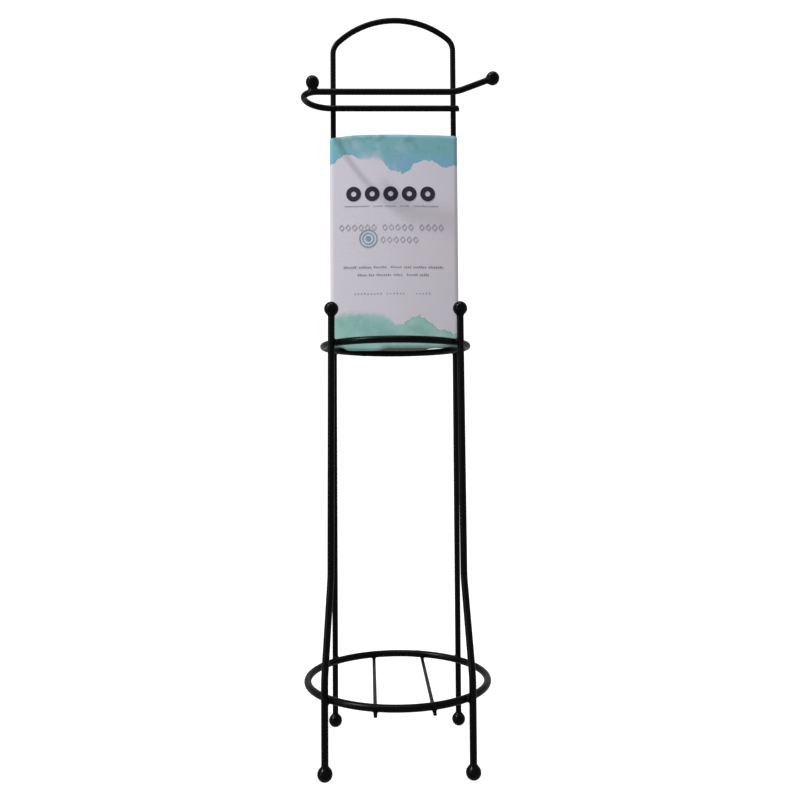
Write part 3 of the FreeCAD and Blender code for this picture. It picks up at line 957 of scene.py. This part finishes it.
inkFilm = {
    "proud": 0.30,          # mm, enough to clear the card's waves
    "sunk": 0.10,
    "columnStep": 2.0,      # mm along a bar
    "ringSteps": 40,
    "endAngles": (20, 45, 70, 90),
    "bluntEnd": 0.02,       # keeps a little height at the tip of a round end
}


def inkStrip(points, faces, spans):
    # a closed film from columns of (x, low z, high z)
    start = len(points)
    for x, low, high in spans:
        for proud in (inkFilm["proud"] * mm, -inkFilm["sunk"] * mm):
            y = frontY(x, proud)
            points += [(x, y, low), (x, y, high)]
    for i in range(len(spans) - 1):
        a, b = start + 4 * i, start + 4 * (i + 1)
        faces += [
            (a, b, b + 1, a + 1),
            (a + 2, a + 3, b + 3, b + 2),
            (a + 1, b + 1, b + 3, a + 3),
            (a, a + 2, b + 2, b),
        ]
    end = start + 4 * (len(spans) - 1)
    faces += [(start, start + 1, start + 3, start + 2), (end, end + 2, end + 3, end + 1)]


def inkBar(points, faces, x0, x1, z, tall):
    # a bar with round ends, sizes in mm
    radius = min(tall / 2, (x1 - x0) / 2)
    ends = [radius * (1 - math.cos(math.radians(a))) for a in inkFilm["endAngles"]]
    straight = x1 - x0 - 2 * radius
    columns = [x0 + e for e in ends]
    if straight > 0.01:
        middleCount = max(1, round(straight / inkFilm["columnStep"]))
        columns += [x0 + radius + straight * i / middleCount for i in range(1, middleCount + 1)]
    columns += [x1 - e for e in reversed(ends[:-1])]
    spans = []
    for x in columns:
        inset = max(0.0, radius - min(x - x0, x1 - x))
        half = tall / 2 * math.sqrt(max(inkFilm["bluntEnd"], 1 - (inset / radius) ** 2))
        spans.append((x * mm, (z - half) * mm, (z + half) * mm))
    inkStrip(points, faces, spans)


def inkLoop(points, faces, outer, inner):
    # a closed line between two outlines with as many points each, (x, z) in mm
    start = len(points)
    for pair in zip(outer, inner):
        for x, z in pair:
            for proud in (inkFilm["proud"] * mm, -inkFilm["sunk"] * mm):
                points.append((x * mm, frontY(x * mm, proud), z * mm))
    for i in range(len(outer)):
        a, b = start + 4 * i, start + 4 * ((i + 1) % len(outer))
        faces += [
            (b, b + 2, a + 2, a),
            (a + 3, b + 3, b + 1, a + 1),
            (a + 1, b + 1, b, a),
            (b + 2, b + 3, a + 3, a + 2),
        ]


def inkRing(points, faces, x, z, outer, inner):
    # a round line, sizes in mm
    steps = inkFilm["ringSteps"]
    turns = [2 * math.pi * i / steps for i in range(steps)]
    inkLoop(points, faces, *(
        [(x + radius * math.cos(t), z + radius * math.sin(t)) for t in turns] for radius in (outer, inner)))


def inkPiece(name, draw, material):
    points, faces = [], []
    draw(points, faces)
    return finishPiece(addMesh(name, points, faces, material, smooth=False), "sleeve", "printed_card")


# all in mm, x from the card's middle and z from the floor
cardArt = {
    "rollEnds": {"z": 490.0, "count": 5, "pitch": 17.2, "middle": -3.0, "outer": 6.9, "inner": 2.5},
    "rule": {"z": 478.6, "tall": 0.45, "left": (-46.0, -23.0), "right": (18.0, 41.0),
             "ticks": (-19.0, 15.0, 1.6, (5, 12, 13))},
    "diamonds": {"wide": 4.6, "tall": 6.6, "line": 1.0, "blunt": 0.05, "gap": 1.4,
                 "rows": ((-51.0, 458.6, (6, 5, 4)), (-12.5, 447.0, (6,)))},
    "tick": {"wide": 1.0, "gap": 0.75, "heights": (1.0, 0.72, 0.72, 0.9, 0.72)},
    # lines of small print: from x, to x, height, how tall, the ticks left out between words, the pitch
    "smallPrint": (
        (-47.0, 47.0, 421.6, 2.3, (7, 15, 23, 24, 31, 36, 44), None),
        (-34.0, 34.0, 414.4, 2.3, (5, 9, 18, 24, 25, 32), None),
        (-37.0, 35.0, 397.0, 1.5, (9, 16, 17, 18), 3.0),
    ),
    # rings of blue like a drop in water, as outer and inner radius
    "ripples": {"x": -24.0, "z": 448.2, "rings": ((8.6, 7.4), (5.6, 4.6), (2.6, 0.4))},
}


def drawRollEnds(points, faces):
    # a plain row of paper rolls seen end on
    look = cardArt["rollEnds"]
    for i in range(look["count"]):
        x = look["middle"] + (i - (look["count"] - 1) / 2) * look["pitch"]
        inkRing(points, faces, x, look["z"], look["outer"], look["inner"])


def drawTicks(points, faces, x0, x1, z, tall, gaps, pitch=None):
    # small print, greeked: rows of little upright ticks broken into words
    look = cardArt["tick"]
    step = pitch or look["wide"] + look["gap"]
    count = int((x1 - x0) / step)
    for i in range(count):
        if i in gaps:
            continue
        height = tall * look["heights"][(i * 7 + count) % 5]
        x = x0 + i * step
        inkBar(points, faces, x, x + look["wide"], z - (tall - height) / 2, height)


def drawRules(points, faces):
    # hairlines either side of a line of tiny ticks
    rule = cardArt["rule"]
    inkBar(points, faces, *rule["left"], rule["z"], rule["tall"])
    inkBar(points, faces, *rule["right"], rule["z"], rule["tall"])
    x0, x1, tall, gaps = rule["ticks"]
    drawTicks(points, faces, x0, x1, rule["z"], tall, gaps)


def diamondOutline(x, z, halfWide, halfTall, blunt):
    return [
        (x - halfWide, z + blunt),
        (x, z + halfTall),
        (x + halfWide, z + blunt),
        (x + halfWide, z - blunt),
        (x, z - halfTall),
        (x - halfWide, z - blunt),
    ][::-1]


def drawDiamonds(points, faces):
    # a title's place is kept by two rows of hollow diamonds
    look = cardArt["diamonds"]
    wide, tall, line = look["wide"] / 2, look["tall"] / 2, look["line"] / 2
    innerWide = wide - wide * line / (tall - line)
    for x, z, groups in look["rows"]:
        for count in groups:
            for _ in range(count):
                outer = diamondOutline(x + wide, z, wide, tall, line)
                inner = diamondOutline(x + wide, z, innerWide, tall - 2 * line, look["blunt"])
                inkLoop(points, faces, outer, inner)
                x += look["wide"] + look["gap"]
            x += look["wide"] * 0.9


def drawSmallPrint(points, faces):
    for line in cardArt["smallPrint"]:
        drawTicks(points, faces, *line)


def drawRipples(points, faces):
    ripples = cardArt["ripples"]
    for outer, inner in ripples["rings"]:
        inkRing(points, faces, ripples["x"], ripples["z"], outer, inner)


inkPiece("inkRollEnds", drawRollEnds, printedInk("dark"))
inkPiece("inkRules", drawRules, printedInk("grey"))
inkPiece("inkDiamonds", drawDiamonds, printedInk("pale"))
inkPiece("inkSmallPrint", drawSmallPrint, printedInk("mid"))
inkPiece("inkRipples", drawRipples, printedInk("blue"))
print("print is ready")


# stage: a pale floor that sweeps up all round, lit from behind like a light table
# Opal acrylic, matt and lit from behind: an even white with no shadow and no horizon.
stageLook = {
    "flat": 2.6,            # m, radius of the level part
    "sweep": 1.2,           # m, radius of the curve up to the wall
    "height": 3.0,          # m
    "around": 64,
    "flatSteps": 4,
    "sweepSteps": 12,
    "colour": "#8c8c8c",
    "glow": 1.0,
}


def sweptFloor():
    # a disc, a quarter round and a wall, as one sheet turned about the middle
    flat, sweep, around = stageLook["flat"], stageLook["sweep"], stageLook["around"]
    flatSteps, sweepSteps = stageLook["flatSteps"], stageLook["sweepSteps"]
    profile = [(flat * i / flatSteps, 0.0) for i in range(1, flatSteps + 1)]
    for i in range(1, sweepSteps + 1):
        angle = math.pi / 2 * i / sweepSteps
        profile.append((flat + sweep * math.sin(angle), sweep * (1 - math.cos(angle))))
    profile.append((flat + sweep, stageLook["height"]))
    turns = [2 * math.pi * j / around for j in range(around)]
    points = [(0, 0, 0)]
    for radius, z in profile:
        points += [(radius * math.cos(turn), radius * math.sin(turn), z) for turn in turns]
    faces = [(0, 1 + j, 1 + (j + 1) % around) for j in range(around)]
    for i in range(len(profile) - 1):
        inner = 1 + i * around
        outer = inner + around
        for j in range(around):
            k = (j + 1) % around
            faces.append((inner + j, outer + j, outer + k, inner + k))
    material, tree = startMaterial("litOpalAcrylic")
    shader = addNode(tree, "ShaderNodeBsdfPrincipled", {
        "Base Color": hexLinear(stageLook["colour"]), "Roughness": 0.9, "Specular IOR Level": 0.0,
        "Emission Color": hexLinear("#ffffff"), "Emission Strength": stageLook["glow"]})
    addNode(tree, "ShaderNodeOutputMaterial", {"Surface": shader.outputs[0]})
    floor = addMesh("studioFloor", points, faces, material)
    # the glow is for the background only: the holder is lit by the lamps and the room
    floor.visible_diffuse = False
    floor.visible_glossy = False
    return floor


sweptFloor()
print("stage is ready")


def areaLight(name, position, target, size, power):
    data = bpy.data.lights.new(name, "AREA")
    data.shape = "RECTANGLE"
    data.size, data.size_y = size
    data.energy = power
    light = bpy.data.objects.new(name, data)
    bpy.context.scene.collection.objects.link(light)
    light.location = position
    light.rotation_euler = (Vector(target) - Vector(position)).to_track_quat("-Z", "Y").to_euler()


# the lamp up on the left throws the arm's soft shadow across the card
lampLook = {
    "power": 1.85,
    "softness": 3.5,        # degrees
    "direction": (0.598, 0.270, -0.755),
}
roomLight = 0.44
lamp = bpy.data.lights.new("lampLeft", "SUN")
lamp.energy = lampLook["power"]
lamp.angle = math.radians(lampLook["softness"])
lampObject = bpy.data.objects.new("lampLeft", lamp)
bpy.context.scene.collection.objects.link(lampObject)
lampObject.rotation_euler = Vector(lampLook["direction"]).to_track_quat("-Z", "Y").to_euler()
# a long soft edge light on the uprights
areaLight("stripLeft", (-1.5, -0.8, 0.9), (0, 0, 0.45), (0.25, 1.8), 7)
areaLight("ceiling", (-0.2, -0.3, 2.4), (0, 0, 0.3), (1.0, 0.8), 12)
world = bpy.data.worlds.new("studioAir")
bpy.context.scene.world = world
world.use_nodes = True
air = world.node_tree.nodes["Background"]
air.inputs["Color"].default_value = hexLinear("#ffffff")
air.inputs["Strength"].default_value = roomLight

# camera, in mm and degrees
view = {
    "place": (-9.3, -696.2, 272.2),
    "turn": 1.05,           # to the right of straight ahead
    "tilt": 2.01,           # upwards
    "roll": -0.38,
    "lens": 36.58,
}
cameraData = bpy.data.cameras.new("camera")
cameraData.lens = view["lens"]
cameraData.clip_start = 0.01
camera = bpy.data.objects.new("camera", cameraData)
bpy.context.scene.collection.objects.link(camera)
camera.matrix_world = (
    Matrix.Translation(Vector(view["place"]) * mm)
    @ Matrix.Rotation(-math.radians(view["turn"]), 4, "Z")
    @ Matrix.Rotation(math.radians(90 + view["tilt"]), 4, "X")
    @ Matrix.Rotation(math.radians(view["roll"]), 4, "Z")
)
bpy.context.scene.camera = camera
bpy.context.scene.view_settings.view_transform = "Standard"
print("lights and camera are ready")
